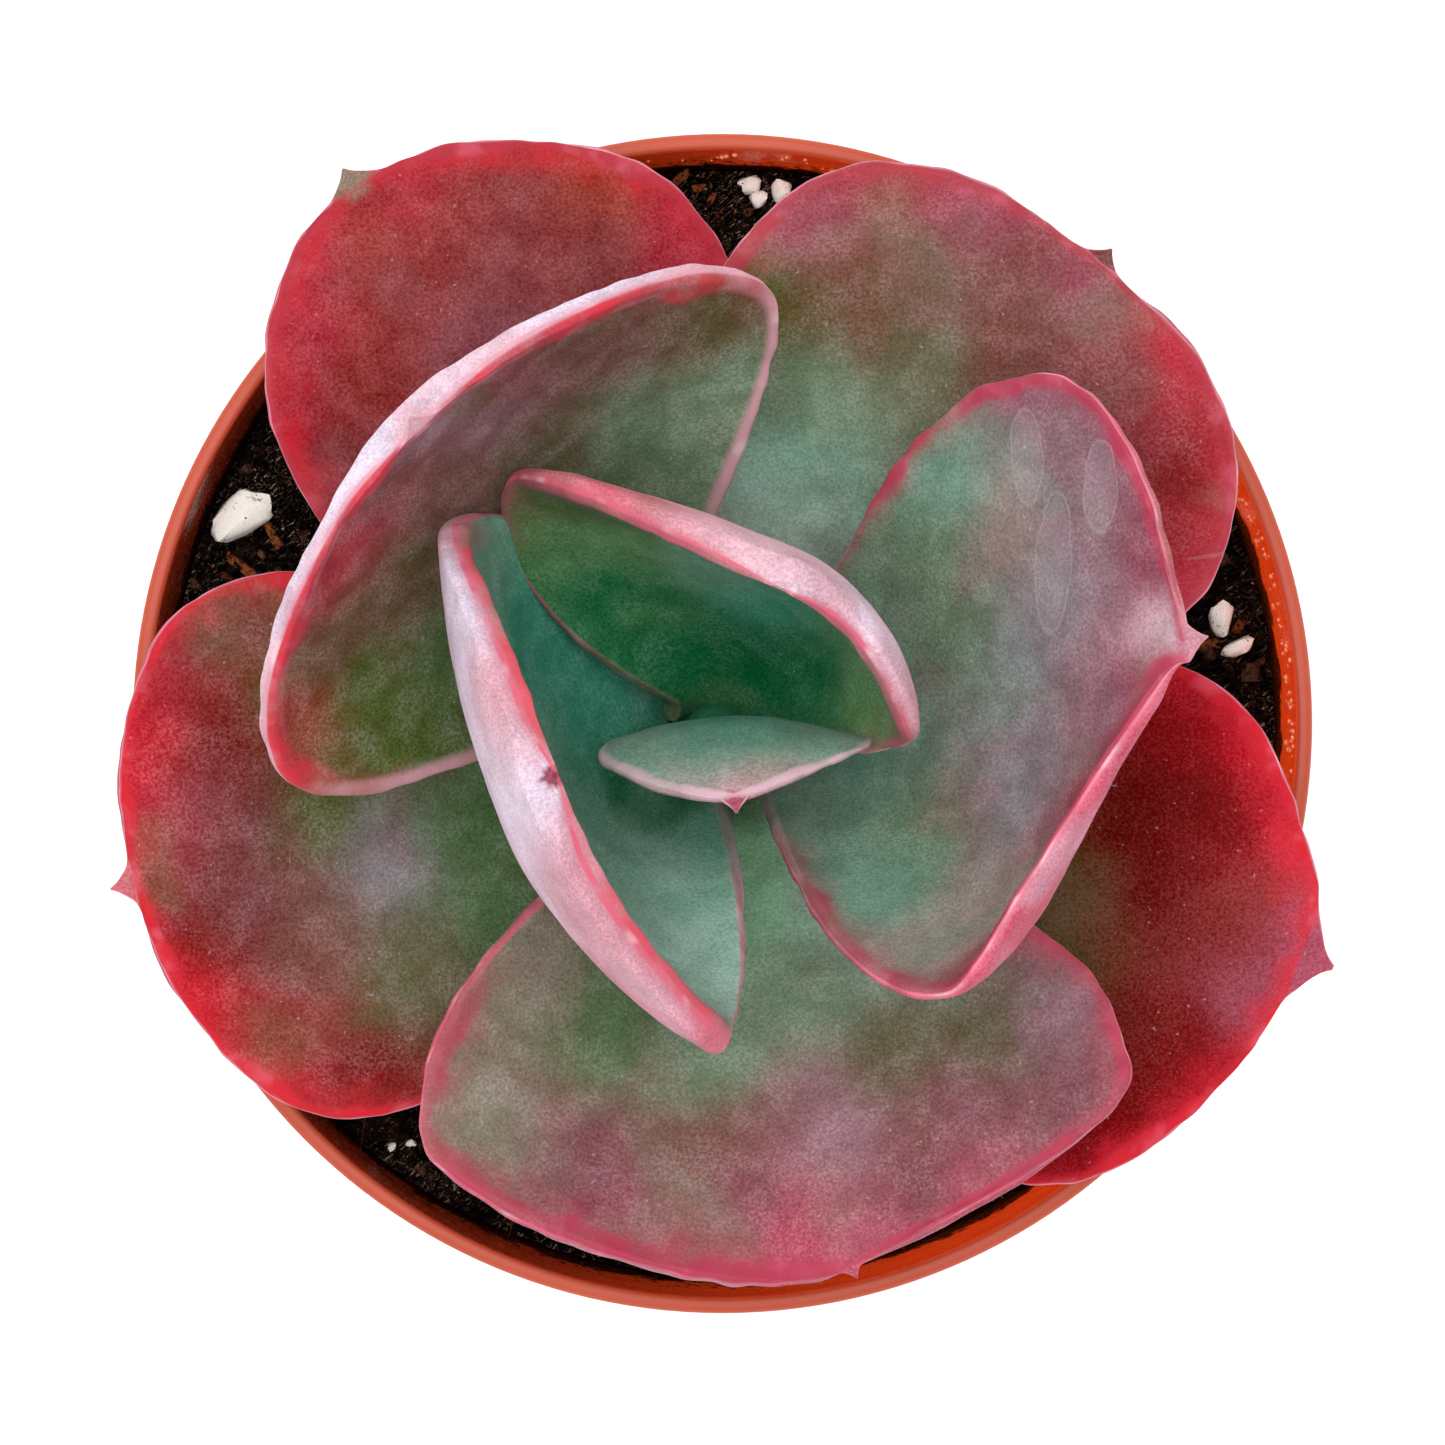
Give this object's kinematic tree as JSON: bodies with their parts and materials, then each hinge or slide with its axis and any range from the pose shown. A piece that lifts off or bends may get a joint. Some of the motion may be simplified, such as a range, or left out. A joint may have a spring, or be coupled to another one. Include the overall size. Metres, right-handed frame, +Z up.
{
  "type": "potted echeveria",
  "caption": "Rosette succulent with broad, fleshy, cupped red-edged leaves spiralling up a short stem, in a tapered round plastic pot of soil.",
  "frame": {"origin": "middle of the pot's flat underside, on the surface that it stands on", "axes": "+Z up along the pot's axis; +X to the right and +Y to the top of the picture, which looks straight down"},
  "size_m": [0.102, 0.102, 0.1454],
  "materials": {
    "pot_plastic": "satin",
    "soil_mix": "matte",
    "stem_bark": "matte",
    "leaf_01_skin": "satin",
    "leaf_02_skin": "satin",
    "leaf_03_skin": "satin",
    "leaf_04_skin": "satin",
    "leaf_05_skin": "satin",
    "leaf_06_skin": "satin",
    "leaf_07_skin": "satin",
    "leaf_08_skin": "satin",
    "leaf_09_skin": "satin",
    "leaf_10_skin": "satin"
  },
  "bodies": {
    "root": {"pot": "pot_plastic", "soil": "soil_mix", "stem": "stem_bark", "leaf_01": "leaf_01_skin", "leaf_02": "leaf_02_skin", "leaf_03": "leaf_03_skin", "leaf_04": "leaf_04_skin", "leaf_05": "leaf_05_skin", "leaf_06": "leaf_06_skin", "leaf_07": "leaf_07_skin", "leaf_08": "leaf_08_skin", "leaf_09": "leaf_09_skin", "leaf_10": "leaf_10_skin"}
  },
  "joints": []
}
